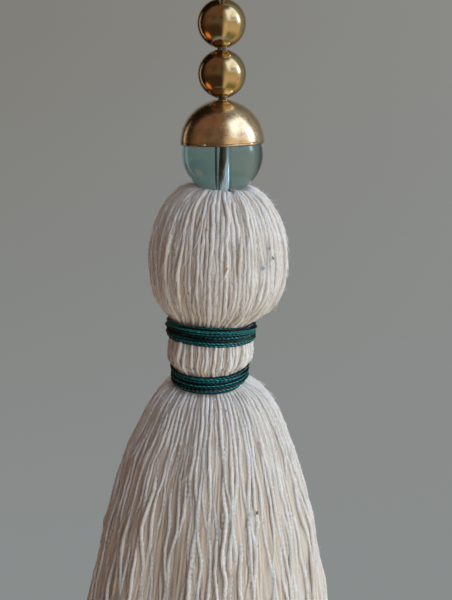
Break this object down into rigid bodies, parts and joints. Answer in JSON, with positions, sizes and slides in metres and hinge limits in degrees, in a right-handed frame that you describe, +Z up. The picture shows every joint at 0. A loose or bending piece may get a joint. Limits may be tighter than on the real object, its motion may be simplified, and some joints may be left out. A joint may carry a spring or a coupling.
{
  "type": "beaded tassel",
  "caption": "Hanging tassel: a hank of cotton yarn with a round head and bell skirt, tied with dark green thread, under a glass bead, brass bead cap and brass balls on a cord loop.",
  "frame": {"origin": "top of the hanging loop's cord, where the tassel is hung up", "axes": "+Z up along the tassel, which hangs down -Z; +X to the right; -Y to the front"},
  "size_m": [0.0734, 0.073, 0.2436],
  "materials": {
    "yarn": "natural unbleached cotton singles, slubby, matte, with stray fibres and a few coloured flecks",
    "wrap_thread": "mercerised two-ply cotton thread, dark green to teal, satin",
    "glass": "clear pale teal grey glass, polished",
    "brass": "polished brass with fine scratches and a light patina",
    "cord": "twisted off-white cotton cord, matte"
  },
  "bodies": {
    "root": {"yarn_bundle": "yarn", "wrap_upper": "wrap_thread", "wrap_lower": "wrap_thread", "glass_bead": "glass", "bead_cap": "brass", "ball_bead_lower": "brass", "ball_bead_upper": "brass", "bead_cord": "cord", "hanging_loop": "cord"}
  },
  "joints": []
}
